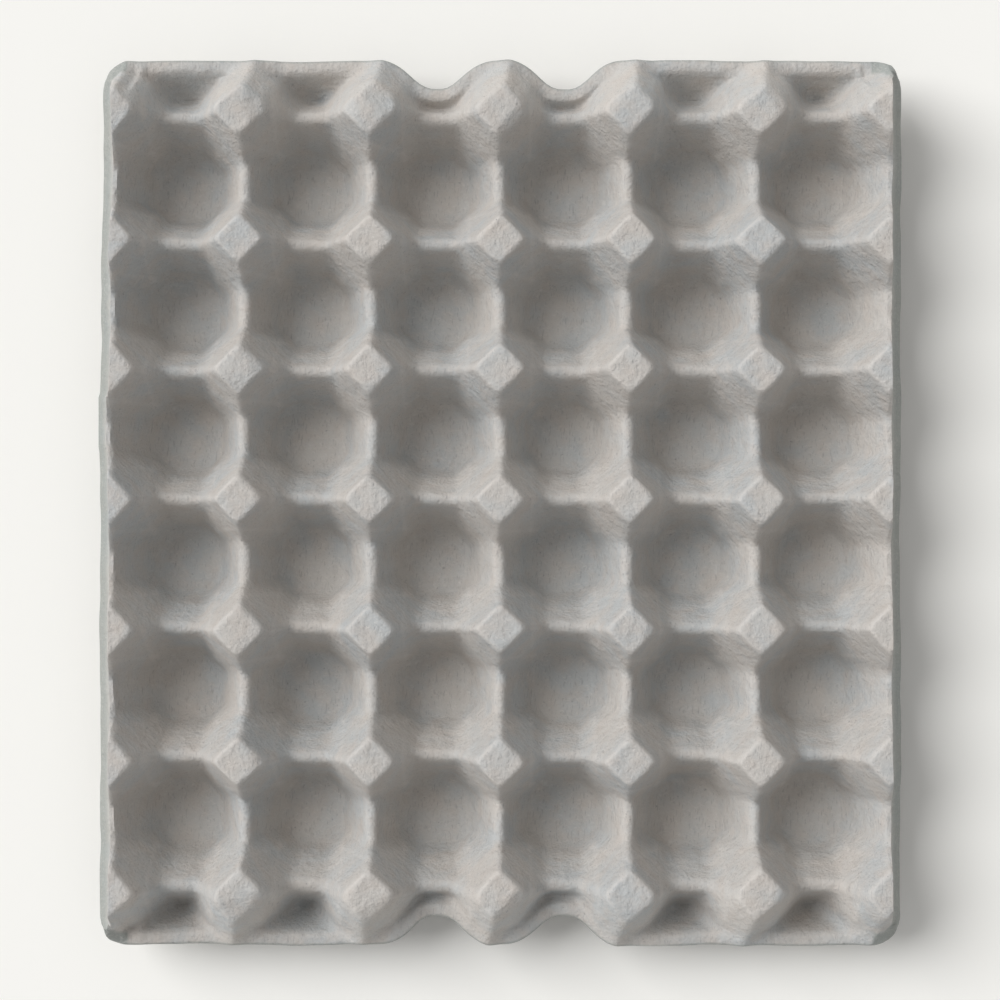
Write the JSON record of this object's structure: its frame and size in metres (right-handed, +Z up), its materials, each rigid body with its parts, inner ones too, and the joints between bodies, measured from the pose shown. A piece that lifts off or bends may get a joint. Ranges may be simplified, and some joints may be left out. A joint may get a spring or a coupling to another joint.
{
  "type": "pulp egg tray",
  "caption": "Moulded pulp tray with a grid of cupped pockets between hollow posts, a rim all round and two finger notches at each end.",
  "frame": {"origin": "middle of the tray, on the plane that the pocket floors stand on", "axes": "+Z up, +Y towards the end that is at the top of the picture, +X to its right"},
  "size_m": [0.3, 0.33, 0.048],
  "materials": {
    "pulp": "light grey moulded newsprint pulp, matt and slightly rough"
  },
  "bodies": {
    "root": {"egg_tray": "pulp"}
  },
  "joints": []
}
